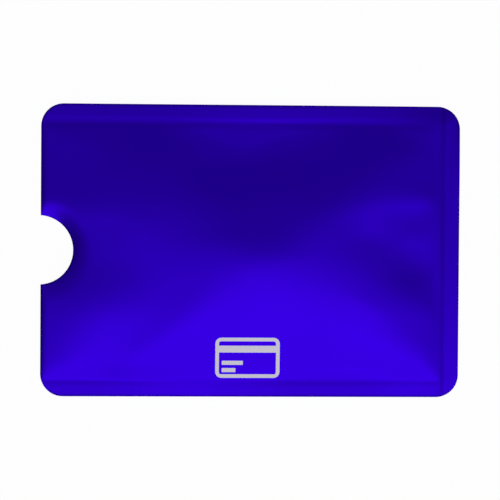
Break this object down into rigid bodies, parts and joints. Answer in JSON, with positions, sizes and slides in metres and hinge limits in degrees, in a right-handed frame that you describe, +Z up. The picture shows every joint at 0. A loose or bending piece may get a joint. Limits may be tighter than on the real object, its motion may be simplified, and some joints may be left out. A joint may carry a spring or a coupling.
{
  "type": "card sleeve",
  "caption": "Flat foil-laminate card sleeve, welded on three sides, with an open short end and a half-round thumb notch.",
  "frame": {"origin": "under the middle of the outline, on the surface that the sleeve rests on", "axes": "+X along the sleeve, from the open mouth to the closed end; +Y across it, to the picture's top; +Z up, out of the printed front wall"},
  "size_m": [0.091, 0.0634, 0.003],
  "materials": {
    "blue_film": "satin metallic blue, a lacquered polyester film over foil",
    "foil": "bright rolled foil",
    "seal_film": "milky heat-sealing film",
    "weld": "melted heat-sealing film",
    "ink": "silver-grey screen print on the front, a mark 14 mm wide that no solid carries"
  },
  "bodies": {
    "root": {"front_colour_film": "blue_film", "front_foil": "foil", "front_seal_film": "seal_film", "weld_seam": "weld", "back_seal_film": "seal_film", "back_foil": "foil", "back_colour_film": "blue_film"}
  },
  "joints": []
}
